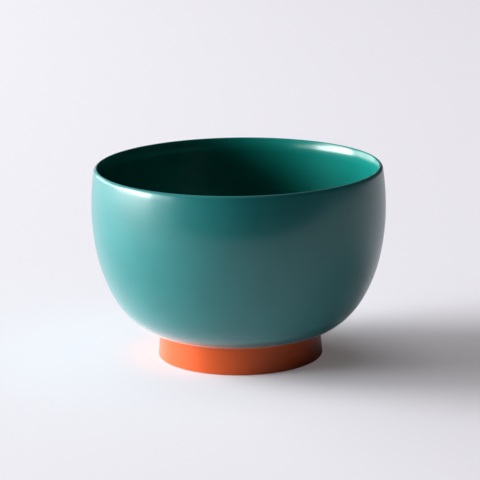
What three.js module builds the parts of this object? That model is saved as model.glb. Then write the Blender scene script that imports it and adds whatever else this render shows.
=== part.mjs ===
// Soup bowl of turned wood with a lacquer finish: a deep round body on a separate foot ring.
// Millimetres, +Z up. The origin is at the middle of the foot, on the surface that the bowl stands on.
import * as THREE from "three";

// Outside of the body: arcs that run smoothly into each other from the rim down to the foot
const BELLY_DIAMETER = 115; // widest outside diameter
const RIM_RISE = 16.3; // height of the rim above the widest line
const UPPER_RADIUS = 105; // profile radius above the widest line
const SIDE_RADIUS = 87; // profile radius of the side, below the widest line
const SIDE_END = 13.2; // degrees that the profile has turned in at the end of the side
const HIP_RADIUS = 57; // profile radius of the hip, below the side
const HIP_END = 30.6; // degrees that it has turned in at the end of the hip
const TUCK_RADIUS = 32.3; // profile radius where the body tucks in
const TUCK_END = 51; // degrees that it has turned in at the end of the tuck
const BASE_RADIUS = 20; // profile radius of the base, next to the foot

// Rim, wall and inside of the body
const WALL = 3; // wood with its two coats
const CREST_RADIUS = 0.6; // rounding of the rim's edge
const EASE_RADIUS = 1.6; // softer rounding of the outside, just below the edge
const EASE_DEPTH = 0.4; // how far the edge is set in from the line of the outside
const LIP_RADIUS = 9.8; // rounding of the inside, just below the edge
const FLOOR_RADIUS = 280; // shallow dish of the floor

// Foot
const FOOT_HEIGHT = 10.7; // from the table up to where the line of its side meets the body
const FOOT_TOP_DIAMETER = 63.1; // on that line
const FOOT_COVE_RADIUS = 1.1; // hollow between the foot and the body
const FOOT_BOTTOM_DIAMETER = 64.9; // before the edge is rounded
const FOOT_WIDTH = 5; // from the outside of the foot to the wall of its recess
const FOOT_EDGE_RADIUS = 0.6; // outer edge of the bearing face
const RECESS_EDGE_RADIUS = 0.6; // inner edge of the bearing face
const RECESS_COVE_RADIUS = 1.2; // corner between the wall and the ceiling of the recess
const SPIGOT_LENGTH = 3.7; // how far the body reaches into the foot ring
const GLUE_LINE = 0.15; // clearance round the spigot

// Lacquer with its ground coats
const COAT = 0.3;

// Fineness of the surfaces
const TURN_STEPS = 48; // flats round the axis
const ARC_ERROR = 0.08; // largest distance from an arc to its chords

const GREEN_LACQUER = { color: "#1f8f80", roughness: 0.25, metalness: 0 };
const ORANGE_LACQUER = { color: "#de5b1e", roughness: 0.3, metalness: 0 };
const BARE_WOOD = { color: "#b98c5c", roughness: 0.7, metalness: 0 };

const HALF_TURN = Math.PI;
const RIGHT_ANGLE = HALF_TURN / 2;

// Point of a profile, at a radius from the axis and a height
const at = (radius, height) => new THREE.Vector2(radius, height);

// Point at an angle on a circle of the profile; angles count up from straight outwards
function onCircle(centre, radius, angle) {
  return at(centre.x + radius * Math.cos(angle), centre.y + radius * Math.sin(angle));
}

// Angle of a triangle between two of its sides
function angleBetween(first, second, opposite) {
  return Math.acos((first ** 2 + second ** 2 - opposite ** 2) / (2 * first * second));
}

// Arc of a finished surface, with the number of chords that it needs
function arc(centre, radius, from, to) {
  const chordAngle = 2 * Math.acos(1 - ARC_ERROR / radius);
  const chords = Math.ceil(Math.abs(to - from) / chordAngle);
  return { centre, radius, from, to, chords };
}

// Points along an arc whose radius has grown by a distance, or shrunk if that is negative
function alongArc({ centre, radius, from, to, chords }, growth) {
  const points = [];
  for (let i = 0; i <= chords; i += 1) {
    points.push(onCircle(centre, radius + growth, from + ((to - from) * i) / chords));
  }
  return points;
}

// Centres of the body's profile, from the widest line down to the foot
const footTopRadius = FOOT_TOP_DIAMETER / 2;
const footBottomRadius = FOOT_BOTTOM_DIAMETER / 2;
const sideEnd = -THREE.MathUtils.degToRad(SIDE_END);
const hipEnd = -THREE.MathUtils.degToRad(HIP_END);
const tuckEnd = -THREE.MathUtils.degToRad(TUCK_END);
const upperCentre = at(BELLY_DIAMETER / 2 - UPPER_RADIUS, 0);
const sideCentre = at(BELLY_DIAMETER / 2 - SIDE_RADIUS, 0);
const hipCentre = onCircle(sideCentre, SIDE_RADIUS - HIP_RADIUS, sideEnd);
const tuckCentre = onCircle(hipCentre, HIP_RADIUS - TUCK_RADIUS, hipEnd);
const baseCentre = onCircle(tuckCentre, TUCK_RADIUS - BASE_RADIUS, tuckEnd);

// The base meets the line of the foot's side, which sets the height of the body above the table
const footMeeting = -Math.acos((footTopRadius - baseCentre.x) / BASE_RADIUS);
const bellyHeight = FOOT_HEIGHT - onCircle(baseCentre, BASE_RADIUS, footMeeting).y;
const lift = at(0, bellyHeight);
[upperCentre, sideCentre, hipCentre, tuckCentre, baseCentre].forEach((centre) => centre.add(lift));

// Foot: its outside and the wall of its recess taper alike
const footTaper = Math.atan((footBottomRadius - footTopRadius) / FOOT_HEIGHT);
const taperSlope = Math.tan(footTaper);
const taperStretch = 1 / Math.cos(footTaper);
const footOutside = (height) => footBottomRadius - height * taperSlope;
const recessWall = (height) => footOutside(height) - FOOT_WIDTH;

// Cove between the foot and the body: a circle that touches both from outside, up to the seam of the colours
const footward = onCircle(at(0, 0), 1, footTaper);
const upFoot = onCircle(at(0, 0), 1, footTaper + RIGHT_ANGLE);
const coveReach = BASE_RADIUS + FOOT_COVE_RADIUS;
const coveAcross = at(footBottomRadius, 0).sub(baseCentre).dot(footward) + FOOT_COVE_RADIUS;
const coveDown = Math.sqrt(coveReach ** 2 - coveAcross ** 2);
const coveCentre = baseCentre.clone().addScaledVector(footward, coveAcross).addScaledVector(upFoot, -coveDown);
const baseEnd = Math.atan2(coveCentre.y - baseCentre.y, coveCentre.x - baseCentre.x);
const seam = onCircle(baseCentre, BASE_RADIUS, baseEnd);
const woodSeam = onCircle(baseCentre, BASE_RADIUS - COAT, baseEnd);

// Crest of the rim: a small circle just inside the line of the outside
const crestReach = UPPER_RADIUS - CREST_RADIUS - EASE_DEPTH;
const crestTilt = Math.asin((RIM_RISE - CREST_RADIUS) / crestReach);
const crestCentre = onCircle(upperCentre, crestReach, crestTilt);

// Ease: a circle inside the wood that touches the crest and the outside
const easeReach = UPPER_RADIUS - EASE_RADIUS;
const easeTilt = crestTilt - angleBetween(easeReach, crestReach, EASE_RADIUS - CREST_RADIUS);
const easeCentre = onCircle(upperCentre, easeReach, easeTilt);
const easeTop = crestCentre.clone().sub(easeCentre).angle();

// Lip: a circle inside the wood that touches the crest and the inside of the wall
const lipReach = UPPER_RADIUS - WALL + LIP_RADIUS;
const lipTilt = crestTilt - angleBetween(lipReach, crestReach, LIP_RADIUS - CREST_RADIUS);
const lipCentre = onCircle(upperCentre, lipReach, lipTilt);
const lipTop = crestCentre.clone().sub(lipCentre).angle();

// Floor: a shallow circle centred on the axis that touches the inside of the base
const innerBaseRadius = BASE_RADIUS - WALL;
const floorReach = FLOOR_RADIUS - innerBaseRadius;
const floorEnd = -Math.acos(baseCentre.x / floorReach);
const floorCentre = at(0, baseCentre.y - floorReach * Math.sin(floorEnd));

// Arcs of the outside, from the seam at the foot up to the top of the crest
const outsideArcs = [
  arc(baseCentre, BASE_RADIUS, baseEnd, tuckEnd),
  arc(tuckCentre, TUCK_RADIUS, tuckEnd, hipEnd),
  arc(hipCentre, HIP_RADIUS, hipEnd, sideEnd),
  arc(sideCentre, SIDE_RADIUS, sideEnd, 0),
  arc(upperCentre, UPPER_RADIUS, 0, easeTilt),
  arc(easeCentre, EASE_RADIUS, easeTilt, easeTop),
  arc(crestCentre, CREST_RADIUS, easeTop, RIGHT_ANGLE),
];

// Arcs of the inside, from the top of the crest down to the middle of the floor
const roundedArcs = [
  arc(crestCentre, CREST_RADIUS, RIGHT_ANGLE, lipTop),
  arc(lipCentre, LIP_RADIUS, lipTop, HALF_TURN + lipTilt),
];
const hollowArcs = [
  arc(upperCentre, UPPER_RADIUS - WALL, lipTilt, 0),
  arc(sideCentre, SIDE_RADIUS - WALL, 0, sideEnd),
  arc(hipCentre, HIP_RADIUS - WALL, sideEnd, hipEnd),
  arc(tuckCentre, TUCK_RADIUS - WALL, hipEnd, tuckEnd),
  arc(baseCentre, innerBaseRadius, tuckEnd, floorEnd),
  arc(floorCentre, FLOOR_RADIUS, floorEnd, -RIGHT_ANGLE),
];

// Profile of the outside, at a depth below the finished surface
function outside(depth) {
  return outsideArcs.flatMap((part) => alongArc(part, -depth));
}

// Profile of the inside, at a depth below the finished surface
function inside(depth) {
  const rounded = roundedArcs.flatMap((part) => alongArc(part, -depth));
  const hollow = hollowArcs.flatMap((part) => alongArc(part, depth));
  return [...rounded, ...hollow];
}

// Heights and radii of the joint between the body and the foot ring
const spigotBottom = woodSeam.y - SPIGOT_LENGTH;
const recessHeight = spigotBottom - COAT;
const boreRadius = recessWall(spigotBottom) + COAT * taperStretch;
const spigotRadius = boreRadius - GLUE_LINE;

// Rounded edges of the bearing face, and the coves above the foot's outside and in the corner of its recess
const edgeRadius = footOutside(FOOT_EDGE_RADIUS) - FOOT_EDGE_RADIUS * taperStretch;
const outerEdge = arc(at(edgeRadius, FOOT_EDGE_RADIUS), FOOT_EDGE_RADIUS, -RIGHT_ANGLE, footTaper);
const innerRadius = recessWall(RECESS_EDGE_RADIUS) + RECESS_EDGE_RADIUS * taperStretch;
const innerStart = footTaper - HALF_TURN;
const innerEdge = arc(at(innerRadius, RECESS_EDGE_RADIUS), RECESS_EDGE_RADIUS, innerStart, -RIGHT_ANGLE);
const footCove = arc(coveCentre, FOOT_COVE_RADIUS, footTaper + HALF_TURN, baseEnd + HALF_TURN);
const cornerHeight = recessHeight - RECESS_COVE_RADIUS;
const cornerRadius = recessWall(cornerHeight) - RECESS_COVE_RADIUS * taperStretch;
const recessCove = arc(at(cornerRadius, cornerHeight), RECESS_COVE_RADIUS, RIGHT_ANGLE, footTaper);

// Profile of the foot, from the recess across the bearing face and up the outside to the body, at a depth
function footSurface(depth) {
  return [...alongArc(innerEdge, -depth), ...alongArc(outerEdge, -depth), ...alongArc(footCove, depth)];
}

// Outlines of the pieces, each turned about the axis; the coats share the outlines of the wood below them
const bodyOutline = [
  at(0, spigotBottom),
  at(spigotRadius, spigotBottom),
  at(spigotRadius, woodSeam.y),
  ...outside(COAT),
  ...inside(COAT),
];
const outerCoatOutline = [...outside(0), ...outside(COAT).reverse(), seam];
const innerCoatOutline = [...inside(COAT).reverse(), ...inside(0)];
const ringOutline = [
  at(boreRadius, spigotBottom),
  ...footSurface(COAT),
  at(boreRadius, woodSeam.y),
  at(boreRadius, spigotBottom),
];
const footCoatOutline = [
  at(0, recessHeight),
  ...alongArc(recessCove, 0),
  ...footSurface(0),
  ...footSurface(COAT).reverse(),
  at(boreRadius, spigotBottom),
  at(0, spigotBottom),
];

// Outline without the points that repeat where one stretch ends and the next begins
function withoutRepeats(outline) {
  const merged = 1e-6;
  return outline.filter((point, i) => i === 0 || point.distanceTo(outline[i - 1]) > merged);
}

// Piece of revolution, turned so that heights run along +Z
function piece(name, outline, finish) {
  const geometry = new THREE.LatheGeometry(withoutRepeats(outline), TURN_STEPS);
  const mesh = new THREE.Mesh(geometry.rotateX(RIGHT_ANGLE), new THREE.MeshStandardMaterial(finish));
  mesh.name = name;
  return mesh;
}

const body = new THREE.Group();
body.add(
  piece("bowl_core", bodyOutline, BARE_WOOD),
  piece("outer_lacquer", outerCoatOutline, GREEN_LACQUER),
  piece("inner_lacquer", innerCoatOutline, GREEN_LACQUER),
);

const foot = new THREE.Group();
foot.add(
  piece("foot_ring", ringOutline, BARE_WOOD),
  piece("foot_lacquer", footCoatOutline, ORANGE_LACQUER),
);

const bowl = new THREE.Group();
bowl.add(body, foot);

export default bowl;
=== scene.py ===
# Lacquer soup bowl on a pale floor, lit by a large window on the left.
# The turned wood is the CAD model's; the three coats of lacquer over it are rebuilt as smooth surfaces.
import math
from collections import namedtuple

import bpy
from mathutils import Matrix, Vector


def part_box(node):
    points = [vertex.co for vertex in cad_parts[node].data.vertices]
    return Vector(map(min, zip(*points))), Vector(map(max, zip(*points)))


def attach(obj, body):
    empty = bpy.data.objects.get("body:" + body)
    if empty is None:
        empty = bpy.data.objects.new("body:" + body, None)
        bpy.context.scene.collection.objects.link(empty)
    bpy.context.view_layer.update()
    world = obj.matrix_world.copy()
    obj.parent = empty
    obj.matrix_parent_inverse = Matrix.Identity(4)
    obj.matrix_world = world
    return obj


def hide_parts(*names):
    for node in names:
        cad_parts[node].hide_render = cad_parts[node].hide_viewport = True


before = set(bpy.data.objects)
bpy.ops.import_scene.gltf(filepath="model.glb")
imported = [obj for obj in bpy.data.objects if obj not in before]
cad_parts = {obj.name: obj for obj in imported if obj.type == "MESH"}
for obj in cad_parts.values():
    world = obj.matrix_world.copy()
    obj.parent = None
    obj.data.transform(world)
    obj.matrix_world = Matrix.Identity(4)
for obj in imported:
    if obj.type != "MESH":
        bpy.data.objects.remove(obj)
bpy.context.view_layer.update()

MM = 0.001
TURN_STEPS = 160  # flats round the axis
ARC_ERROR = 0.004  # largest distance from an arc to its chords, in mm
MERGED = 1e-5  # distance under which two points of a profile are one, in mm
SHARP_ANGLE = math.radians(40)  # angle between faces from which their edge is sharp

# Profile of the bowl in mm, as turned; lengths that the frame holds are taken from it
RIM_RISE = 16.3
UPPER_RADIUS = 105
SIDE_RADIUS = 87
SIDE_END = math.radians(-13.2)
HIP_RADIUS = 57
HIP_END = math.radians(-30.6)
TUCK_RADIUS = 32.3
TUCK_END = math.radians(-51)
BASE_RADIUS = 20
WALL = 3
CREST_RADIUS = 0.6
EASE_RADIUS = 1.6
EASE_DEPTH = 0.4
LIP_RADIUS = 9.8
FLOOR_RADIUS = 280
FOOT_HEIGHT = 10.7
FOOT_TOP_RADIUS = 31.55
FOOT_BOTTOM_RADIUS = 32.45
FOOT_COVE_RADIUS = 1.1
FOOT_WIDTH = 5
FOOT_EDGE_RADIUS = 0.6
RECESS_EDGE_RADIUS = 0.6
RECESS_COVE_RADIUS = 1.2

coat_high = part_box("outer_lacquer")[1] / MM
wood_low, wood_high = (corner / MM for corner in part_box("bowl_core"))
belly_radius = coat_high.x
rim_height = coat_high.z
coat = rim_height - wood_high.z
spigot_bottom = wood_low.z

RIGHT_ANGLE = math.pi / 2
Arc = namedtuple("Arc", "centre radius start end")


def on_circle(centre, radius, angle):
    """Point of the profile (radius, height) on a circle; angles count up from straight outwards."""
    return Vector((centre.x + radius * math.cos(angle), centre.y + radius * math.sin(angle)))


def along(arc, growth):
    """Points along an arc whose radius has grown by a distance, or shrunk if that is negative."""
    chord_angle = 2 * math.acos(1 - ARC_ERROR / arc.radius)
    chords = math.ceil(abs(arc.end - arc.start) / chord_angle)
    angles = [arc.start + (arc.end - arc.start) * i / chords for i in range(chords + 1)]
    return [on_circle(arc.centre, arc.radius + growth, angle) for angle in angles]


def angle_between(first, second, opposite):
    """Angle of a triangle between two of its sides."""
    return math.acos((first**2 + second**2 - opposite**2) / (2 * first * second))


def heading(vector):
    """Angle of a direction in the profile."""
    return math.atan2(vector.y, vector.x)


# Centres of the body's arcs, from the rim down to the foot
belly_height = rim_height - RIM_RISE
upper_centre = Vector((belly_radius - UPPER_RADIUS, belly_height))
side_centre = Vector((belly_radius - SIDE_RADIUS, belly_height))
hip_centre = on_circle(side_centre, SIDE_RADIUS - HIP_RADIUS, SIDE_END)
tuck_centre = on_circle(hip_centre, HIP_RADIUS - TUCK_RADIUS, HIP_END)
base_centre = on_circle(tuck_centre, TUCK_RADIUS - BASE_RADIUS, TUCK_END)

# Crest of the rim, the ease outside it, the rounded lip inside it, and the dished floor
crest_reach = UPPER_RADIUS - CREST_RADIUS - EASE_DEPTH
crest_tilt = math.asin((RIM_RISE - CREST_RADIUS) / crest_reach)
crest_centre = on_circle(upper_centre, crest_reach, crest_tilt)
ease_reach = UPPER_RADIUS - EASE_RADIUS
ease_tilt = crest_tilt - angle_between(ease_reach, crest_reach, EASE_RADIUS - CREST_RADIUS)
ease_centre = on_circle(upper_centre, ease_reach, ease_tilt)
ease_top = heading(crest_centre - ease_centre)
lip_reach = UPPER_RADIUS - WALL + LIP_RADIUS
lip_tilt = crest_tilt - angle_between(lip_reach, crest_reach, LIP_RADIUS - CREST_RADIUS)
lip_centre = on_circle(upper_centre, lip_reach, lip_tilt)
lip_top = heading(crest_centre - lip_centre)
inner_base_radius = BASE_RADIUS - WALL
floor_reach = FLOOR_RADIUS - inner_base_radius
floor_end = -math.acos(base_centre.x / floor_reach)
floor_centre = Vector((0, base_centre.y - floor_reach * math.sin(floor_end)))

# Foot: its outside and the wall of its recess taper alike, and a cove joins it to the body
foot_taper = math.atan((FOOT_BOTTOM_RADIUS - FOOT_TOP_RADIUS) / FOOT_HEIGHT)
taper_stretch = 1 / math.cos(foot_taper)
footward = on_circle(Vector((0, 0)), 1, foot_taper)
down_foot = on_circle(Vector((0, 0)), 1, foot_taper - RIGHT_ANGLE)
cove_across = (Vector((FOOT_BOTTOM_RADIUS, 0)) - base_centre).dot(footward) + FOOT_COVE_RADIUS
cove_down = math.sqrt((BASE_RADIUS + FOOT_COVE_RADIUS) ** 2 - cove_across**2)
cove_centre = base_centre + footward * cove_across + down_foot * cove_down
base_end = heading(cove_centre - base_centre)

outside_arcs = [
    Arc(base_centre, BASE_RADIUS, base_end, TUCK_END),
    Arc(tuck_centre, TUCK_RADIUS, TUCK_END, HIP_END),
    Arc(hip_centre, HIP_RADIUS, HIP_END, SIDE_END),
    Arc(side_centre, SIDE_RADIUS, SIDE_END, 0),
    Arc(upper_centre, UPPER_RADIUS, 0, ease_tilt),
    Arc(ease_centre, EASE_RADIUS, ease_tilt, ease_top),
    Arc(crest_centre, CREST_RADIUS, ease_top, RIGHT_ANGLE),
]
rounded_arcs = [
    Arc(crest_centre, CREST_RADIUS, RIGHT_ANGLE, lip_top),
    Arc(lip_centre, LIP_RADIUS, lip_top, math.pi + lip_tilt),
]
hollow_arcs = [
    Arc(upper_centre, UPPER_RADIUS - WALL, lip_tilt, 0),
    Arc(side_centre, SIDE_RADIUS - WALL, 0, SIDE_END),
    Arc(hip_centre, HIP_RADIUS - WALL, SIDE_END, HIP_END),
    Arc(tuck_centre, TUCK_RADIUS - WALL, HIP_END, TUCK_END),
    Arc(base_centre, inner_base_radius, TUCK_END, floor_end),
    Arc(floor_centre, FLOOR_RADIUS, floor_end, -RIGHT_ANGLE),
]


def foot_outside(height):
    """Radius of the foot's outside at a height."""
    return FOOT_BOTTOM_RADIUS - height * math.tan(foot_taper)


def recess_wall(height):
    """Radius of the wall of the foot's recess at a height."""
    return foot_outside(height) - FOOT_WIDTH


recess_height = spigot_bottom - coat
bore_radius = recess_wall(spigot_bottom) + coat * taper_stretch
outer_edge_centre = Vector(
    (foot_outside(FOOT_EDGE_RADIUS) - FOOT_EDGE_RADIUS * taper_stretch, FOOT_EDGE_RADIUS)
)
inner_edge_centre = Vector(
    (recess_wall(RECESS_EDGE_RADIUS) + RECESS_EDGE_RADIUS * taper_stretch, RECESS_EDGE_RADIUS)
)
corner_height = recess_height - RECESS_COVE_RADIUS
corner_centre = Vector((recess_wall(corner_height) - RECESS_COVE_RADIUS * taper_stretch, corner_height))
outer_edge = Arc(outer_edge_centre, FOOT_EDGE_RADIUS, -RIGHT_ANGLE, foot_taper)
inner_edge = Arc(inner_edge_centre, RECESS_EDGE_RADIUS, foot_taper - math.pi, -RIGHT_ANGLE)
foot_cove = Arc(cove_centre, FOOT_COVE_RADIUS, foot_taper + math.pi, base_end + math.pi)
recess_cove = Arc(corner_centre, RECESS_COVE_RADIUS, RIGHT_ANGLE, foot_taper)


def outside(depth):
    """Profile of the body's outside, from the seam up to the crest, at a depth below the surface."""
    return [point for arc in outside_arcs for point in along(arc, -depth)]


def inside(depth):
    """Profile of the body's inside, from the crest down to the middle, at a depth below the surface."""
    rounded = [point for arc in rounded_arcs for point in along(arc, -depth)]
    hollow = [point for arc in hollow_arcs for point in along(arc, depth)]
    return rounded + hollow


def foot_surface(depth):
    """Profile of the foot, from the recess across the bearing face and up to the body, at a depth."""
    return along(inner_edge, -depth) + along(outer_edge, -depth) + along(foot_cove, depth)


outer_coat = outside(0) + outside(coat)[::-1] + outside(0)[:1]
inner_coat = inside(coat)[::-1] + inside(0)
foot_coat = [
    Vector((0, recess_height)),
    *along(recess_cove, 0),
    *foot_surface(0),
    *foot_surface(coat)[::-1],
    Vector((bore_radius, spigot_bottom)),
    Vector((0, spigot_bottom)),
]


def turned(name, outline, material):
    """Smooth closed mesh of an outline turned about the axis.

    The outline runs round to where it starts, or from the axis to the axis.
    """
    points = [p for i, p in enumerate(outline) if i == 0 or (p - outline[i - 1]).length > MERGED]
    vertices = []
    rings = []
    for point in points:
        steps = TURN_STEPS if point.x > MERGED else 1
        rings.append(range(len(vertices), len(vertices) + steps))
        for step in range(steps):
            angle = 2 * math.pi * step / TURN_STEPS
            vertices.append(Vector((point.x * math.cos(angle), point.x * math.sin(angle), point.y)) * MM)
    if (points[0] - points[-1]).length < MERGED:
        del vertices[rings[-1].start :]
        rings[-1] = rings[0]
    faces = []
    for lower, upper in zip(rings, rings[1:]):
        for step in range(TURN_STEPS):
            after = (step + 1) % TURN_STEPS
            low = [lower[step % len(lower)], lower[after % len(lower)]]
            high = [upper[after % len(upper)], upper[step % len(upper)]]
            faces.append(list(dict.fromkeys(low + high)))
    mesh = bpy.data.meshes.new(name)
    mesh.from_pydata(vertices, [], faces)
    mesh.shade_smooth()
    mesh.set_sharp_from_angle(angle=SHARP_ANGLE)
    mesh.materials.append(material)
    piece = bpy.data.objects.new(name, mesh)
    bpy.context.scene.collection.objects.link(piece)
    return piece


class Nodes:
    """Node tree of a new material, with short calls that add nodes and link them."""

    def __init__(self, name):
        self.material = bpy.data.materials.new(name)
        self.material.use_nodes = True
        self.tree = self.material.node_tree
        self.shader = self.tree.nodes["Principled BSDF"]

    def add(self, kind, inputs, **settings):
        """New node; each input is a value or the output of another node."""
        node = self.tree.nodes.new(kind)
        for key, value in settings.items():
            setattr(node, key, value)
        for key, value in inputs.items():
            self.feed(node.inputs[key], value)
        return node

    def feed(self, socket, value):
        """Sets an input, or links it where the value is the output of another node."""
        if isinstance(value, bpy.types.NodeSocket):
            self.tree.links.new(value, socket)
        else:
            socket.default_value = value

    def place(self):
        """Place on the object, in metres."""
        return self.add("ShaderNodeTexCoord", {}).outputs["Object"]

    def calc(self, operation, *values):
        """Result of a sum on numbers."""
        return self.add("ShaderNodeMath", dict(enumerate(values)), operation=operation).outputs[0]

    def weighted(self, first, first_weight, second, second_weight):
        """Sum of two numbers, each times its weight."""
        first_part = self.calc("MULTIPLY", first, first_weight)
        second_part = self.calc("MULTIPLY", second, second_weight)
        return self.calc("ADD", first_part, second_part)

    def vector(self, operation, *values):
        """Result of a sum on vectors, as a vector."""
        node = self.add("ShaderNodeVectorMath", dict(enumerate(values)), operation=operation)
        return node.outputs["Vector"]

    def length(self, vector):
        """Length of a vector."""
        return self.add("ShaderNodeVectorMath", {0: vector}, operation="LENGTH").outputs["Value"]

    def noise(self, vector, scale, detail):
        """Cloudy pattern with so many cells to a unit of the vector."""
        inputs = {"Vector": vector, "Scale": scale, "Detail": detail}
        return self.add("ShaderNodeTexNoise", inputs).outputs["Fac"]

    def ease(self, value, start, end, low=0.0, high=1.0):
        """Smooth step that turns start into low and end into high."""
        inputs = {"Value": value, "From Min": start, "From Max": end, "To Min": low, "To Max": high}
        return self.add("ShaderNodeMapRange", inputs, interpolation_type="SMOOTHSTEP").outputs[0]

    def mix(self, factor, first, second):
        """Colour between two others."""
        inputs = {"Factor_Float": factor, "A_Color": first, "B_Color": second}
        node = self.add("ShaderNodeMix", {}, data_type="RGBA")
        sockets = {socket.identifier: socket for socket in node.inputs}
        for key, value in inputs.items():
            self.feed(sockets[key], value)
        return next(socket for socket in node.outputs if socket.identifier == "Result_Color")

    def bump(self, height, depth, below=None):
        """Normal of a relief, in metres, on top of another relief."""
        inputs = {"Height": height, "Distance": depth, "Strength": 1.0}
        if below:
            inputs["Normal"] = below
        return self.add("ShaderNodeBump", inputs).outputs["Normal"]

    def finish(self, colour, roughness, normal):
        """Links what varies over the surface to the shader."""
        self.tree.links.new(colour, self.shader.inputs["Base Color"])
        self.tree.links.new(roughness, self.shader.inputs["Roughness"])
        self.tree.links.new(normal, self.shader.inputs["Normal"])
        return self.material


# Patterns in the lacquer: cells to a metre, depths in metres
STROKES = 700
STROKE_SCALE = 1.2
CLOUD_SCALE = 60
WAVE_SCALE = 150
GRAIN_SCALE = 2600
STROKE_DEPTH = 4e-6
WAVE_DEPTH = 12e-6
PATTERN_RANGE = (0.3, 0.7)  # what a soft pattern mostly covers
GRAIN_RANGE = (0.35, 0.75)
SHEEN_ROUGHNESS = 0.4
SHEEN_TINT = (0.85, 0.95, 1, 1)
KEPT_GLOSS = 0.3  # share of the roughness in a corner that nothing rubs
NO_CORNER = (-2 * MM, -1 * MM)  # heights below the whole bowl


def lacquer(name, deep, light, worn, gloss, satin, shine, polish, blur, bloom, edge, corner=NO_CORNER):
    """Lacquer brushed round the bowl in two close tones, with faint strokes.

    Its roughness lies between gloss and satin. Shine is the body's reflection, polish that of the top
    layer, which blur softens, and bloom a soft sheen. The edge is a pair of heights between which the coat
    wears thin. The corner is a pair of heights below which nothing rubs it, so that it keeps its gloss.
    """
    nodes = Nodes(name)
    nodes.shader.inputs["Specular IOR Level"].default_value = shine
    nodes.shader.inputs["Coat Weight"].default_value = polish
    nodes.shader.inputs["Coat Roughness"].default_value = blur
    nodes.shader.inputs["Sheen Weight"].default_value = bloom
    nodes.shader.inputs["Sheen Roughness"].default_value = SHEEN_ROUGHNESS
    nodes.shader.inputs["Sheen Tint"].default_value = SHEEN_TINT
    place = nodes.place()
    across = nodes.vector("MULTIPLY", place, (1, 1, 0))
    radius = nodes.length(across)
    outwards = nodes.vector("NORMALIZE", across)
    height = nodes.add("ShaderNodeSeparateXYZ", {0: place}).outputs["Z"]
    run = nodes.calc("MULTIPLY", nodes.calc("ADD", radius, height), STROKES)
    lift = nodes.add("ShaderNodeCombineXYZ", {"Z": run}).outputs[0]
    stroke = nodes.noise(nodes.vector("ADD", outwards, lift), STROKE_SCALE, 3)
    cloud = nodes.noise(place, CLOUD_SCALE, 3)
    wave = nodes.noise(place, WAVE_SCALE, 1)
    grain = nodes.noise(place, GRAIN_SCALE, 1)

    tone = nodes.weighted(cloud, 0.7, stroke, 0.3)
    brushed = nodes.mix(nodes.ease(tone, *PATTERN_RANGE), deep, light)
    thinned = nodes.calc("MULTIPLY", nodes.ease(height, *edge), nodes.ease(grain, *GRAIN_RANGE))
    colour = nodes.mix(thinned, brushed, worn)

    rub = nodes.weighted(stroke, 0.5, cloud, 0.5)
    dulled = nodes.ease(height, *corner, KEPT_GLOSS, 1.0)
    roughness = nodes.calc("MULTIPLY", nodes.ease(rub, *PATTERN_RANGE, gloss, satin), dulled)
    relief = nodes.bump(stroke, STROKE_DEPTH, nodes.bump(wave, WAVE_DEPTH))
    return nodes.finish(colour, roughness, relief)


# Wood: lengths in metres; the grain runs along Y, and the pith lies outside the bowl
FROM_PITH = (0.12, 0, -0.03)
RING_STRETCH = (1, 0.1, 1)
RINGS = 420  # growth rings to a metre
RING_DRIFT_SCALE = 25
RING_DRIFT = 2  # in rings
FIBRE_STRETCH = (1, 0.06, 1)
FIBRE_SCALE = 2400
FIBRE_DEPTH = 2e-5
EARLY_WOOD = (0.56, 0.35, 0.16, 1)
LATE_WOOD = (0.38, 0.2, 0.08, 1)


def turned_wood(name):
    """Straight-grained wood with growth rings, bare under its lacquer."""
    nodes = Nodes(name)
    place = nodes.place()
    drift = nodes.noise(place, RING_DRIFT_SCALE, 2)
    distance = nodes.length(nodes.vector("MULTIPLY", nodes.vector("ADD", place, FROM_PITH), RING_STRETCH))
    ring = nodes.calc("FRACT", nodes.weighted(distance, RINGS, drift, RING_DRIFT))
    fibre = nodes.noise(nodes.vector("MULTIPLY", place, FIBRE_STRETCH), FIBRE_SCALE, 3)
    lateness = nodes.weighted(ring, 0.7, fibre, 0.3)
    colour = nodes.mix(nodes.ease(lateness, 0.2, 0.9), EARLY_WOOD, LATE_WOOD)
    roughness = nodes.ease(fibre, 0.2, 0.8, low=0.55, high=0.75)
    return nodes.finish(colour, roughness, nodes.bump(fibre, FIBRE_DEPTH))


# Coats: each stands for the CAD model's coat of the same name
top = rim_height * MM
rim_edge = (top - 0.7 * MM, top - 0.1 * MM)
foot_edge = (1.0 * MM, 0.1 * MM)
above_foot = (14.5 * MM, 22 * MM)
satin_green = lacquer(
    "satin_green_lacquer",
    deep=(0.0055, 0.153, 0.151, 1),
    light=(0.0065, 0.172, 0.171, 1),
    worn=(0.01, 0.21, 0.2, 1),
    gloss=0.36,
    satin=0.42,
    shine=0.36,
    polish=0.6,
    blur=0.16,
    bloom=0.3,
    edge=rim_edge,
    corner=above_foot,
)
gloss_green = lacquer(
    "gloss_green_lacquer",
    deep=(0.003, 0.146, 0.123, 1),
    light=(0.004, 0.164, 0.138, 1),
    worn=(0.01, 0.21, 0.2, 1),
    gloss=0.2,
    satin=0.26,
    shine=0.26,
    polish=0.27,
    blur=0.2,
    bloom=0.0,
    edge=rim_edge,
)
orange = lacquer(
    "orange_lacquer",
    deep=(0.53, 0.069, 0.004, 1),
    light=(0.6, 0.078, 0.005, 1),
    worn=(0.63, 0.1, 0.007, 1),
    gloss=0.34,
    satin=0.4,
    shine=0.18,
    polish=0.22,
    blur=0.27,
    bloom=0.45,
    edge=foot_edge,
)
for node, slot, outline, material in (
    ("outer_lacquer", "green_outside", outer_coat, satin_green),
    ("inner_lacquer", "green_inside", inner_coat, gloss_green),
    ("foot_lacquer", "orange_foot", foot_coat, orange),
):
    piece = turned(node + "_smooth", outline, material)
    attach(piece, "root")
    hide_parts(node)

wood = turned_wood("turned_wood")
for node in ("bowl_core", "foot_ring"):
    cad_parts[node].data.materials[0] = wood

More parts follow.
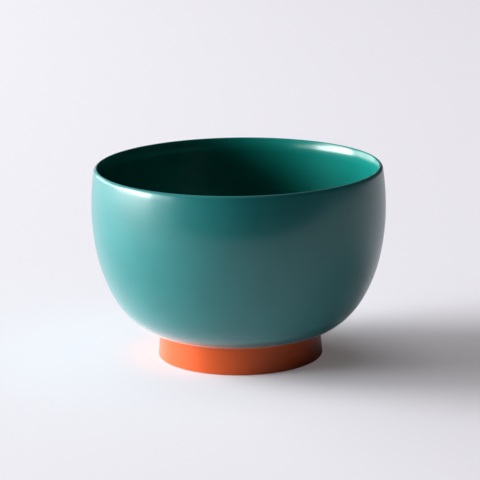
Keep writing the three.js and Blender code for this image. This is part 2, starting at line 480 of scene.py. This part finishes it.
# Pale sheet that the bowl stands on, in metres
FLOOR_LEFT = -1.6
FLOOR_RIGHT = 1.2
FLOOR_FRONT = -0.3
FLOOR_BACK = 1.15
FLOOR_COLOUR = (0.772, 0.77, 0.826, 1)
# Painted glow on the floor, seen by the camera alone, that lightens the bowl's cast shadow
FLOOR_GLOW = (0.113, 0.1, 0.098, 1)
FLOOR_ROUGHNESS = 0.9


def make_floor(colour, glow):
    """Flat matt sheet of one pale colour; a faint painted glow, which the camera alone sees, lifts its
    shadow.
    """
    corners = [
        (FLOOR_LEFT, FLOOR_FRONT, 0),
        (FLOOR_RIGHT, FLOOR_FRONT, 0),
        (FLOOR_RIGHT, FLOOR_BACK, 0),
        (FLOOR_LEFT, FLOOR_BACK, 0),
    ]
    mesh = bpy.data.meshes.new("floor")
    mesh.from_pydata(corners, [], [(0, 1, 2, 3)])
    floor = bpy.data.objects.new("floor", mesh)
    bpy.context.scene.collection.objects.link(floor)
    paint = Nodes("floor_paint")
    paint.shader.inputs["Base Color"].default_value = colour
    paint.shader.inputs["Roughness"].default_value = FLOOR_ROUGHNESS
    paint.shader.inputs["Specular IOR Level"].default_value = 0.0
    # Painted glow: emission that only camera rays see, lifting the cast shadow
    paint.shader.inputs["Emission Color"].default_value = glow
    seen = paint.add("ShaderNodeLightPath", {}).outputs["Is Camera Ray"]
    paint.feed(paint.shader.inputs["Emission Strength"], seen)
    mesh.materials.append(paint.material)
    return floor


make_floor(FLOOR_COLOUR, FLOOR_GLOW)


def light_panel(name, turn, rise, distance, width, height, brightness, mirrored=True):
    """Soft light that faces the bowl, with an even brightness in which 1 is a white surface.

    Its place is turned from straight left towards the back, and raised from the floor, by angles in
    degrees. Glossy surfaces show it where it is mirrored.
    """
    lamp = bpy.data.lights.new(name, "AREA")
    lamp.shape = "RECTANGLE"
    lamp.size = width
    lamp.size_y = height
    lamp.energy = math.pi * width * height * brightness
    panel = bpy.data.objects.new(name, lamp)
    across = math.cos(math.radians(rise))
    away = Vector(
        (
            -across * math.cos(math.radians(turn)),
            across * math.sin(math.radians(turn)),
            math.sin(math.radians(rise)),
        )
    )
    facing = away.to_track_quat("Z", "Y").to_matrix().to_4x4()
    panel.matrix_world = Matrix.Translation(away * distance) @ facing
    panel.visible_camera = False
    panel.visible_glossy = mirrored
    bpy.context.scene.collection.objects.link(panel)


light_panel("window", turn=1, rise=10.5, distance=4.2, width=3.0, height=1.4, brightness=27.6)
light_panel("window_wall", turn=0, rise=11, distance=4.5, width=6.9, height=1.5, brightness=3.8)
light_panel("fanlight", turn=8, rise=30, distance=4.2, width=1.95, height=1.47, brightness=10)
light_panel("side_window", turn=47, rise=11, distance=6.0, width=3.0, height=2.25, brightness=4)
light_panel(
    "back_wall", turn=36, rise=11, distance=6.0, width=3.9, height=2.25, brightness=5.5, mirrored=False
)
light_panel(
    "ceiling", turn=90, rise=85, distance=3.75, width=2.4, height=2.4, brightness=1.1, mirrored=False
)

# Dark room round the sheet, which the camera alone sees as pale
ROOM_COLOUR = (0.93, 0.93, 1, 1)
ROOM_LIGHT = 0.013
ROOM_SEEN = 0.8

room = bpy.data.worlds.new("room")
room.use_nodes = True
background = room.node_tree.nodes["Background"]
background.inputs["Color"].default_value = ROOM_COLOUR
strength = room.node_tree.nodes.new("ShaderNodeMapRange")
strength.inputs["To Min"].default_value = ROOM_LIGHT
strength.inputs["To Max"].default_value = ROOM_SEEN
ray = room.node_tree.nodes.new("ShaderNodeLightPath")
room.node_tree.links.new(ray.outputs["Is Camera Ray"], strength.inputs["Value"])
room.node_tree.links.new(strength.outputs["Result"], background.inputs["Strength"])
bpy.context.scene.world = room

# Camera at the photographed angle
CAMERA_DISTANCE = 0.985
CAMERA_RISE = math.radians(13.61)
CAMERA_ROLL = math.radians(-0.72)
CAMERA_TARGET = Vector((0.00034, 0, 0.04579))
SENSOR_WIDTH = 36
FOCAL_LENGTH = 188.25

camera_data = bpy.data.cameras.new("camera")
camera_data.sensor_width = SENSOR_WIDTH
camera_data.lens = FOCAL_LENGTH
camera = bpy.data.objects.new("camera", camera_data)
backwards = Vector((0, -math.cos(CAMERA_RISE), math.sin(CAMERA_RISE)))
aim = (-backwards).to_track_quat("-Z", "Y").to_matrix().to_4x4()
stand = Matrix.Translation(CAMERA_TARGET + backwards * CAMERA_DISTANCE)
camera.matrix_world = stand @ aim @ Matrix.Rotation(CAMERA_ROLL, 4, "Z")
bpy.context.scene.collection.objects.link(camera)
bpy.context.scene.camera = camera
bpy.context.scene.view_settings.view_transform = "Standard"
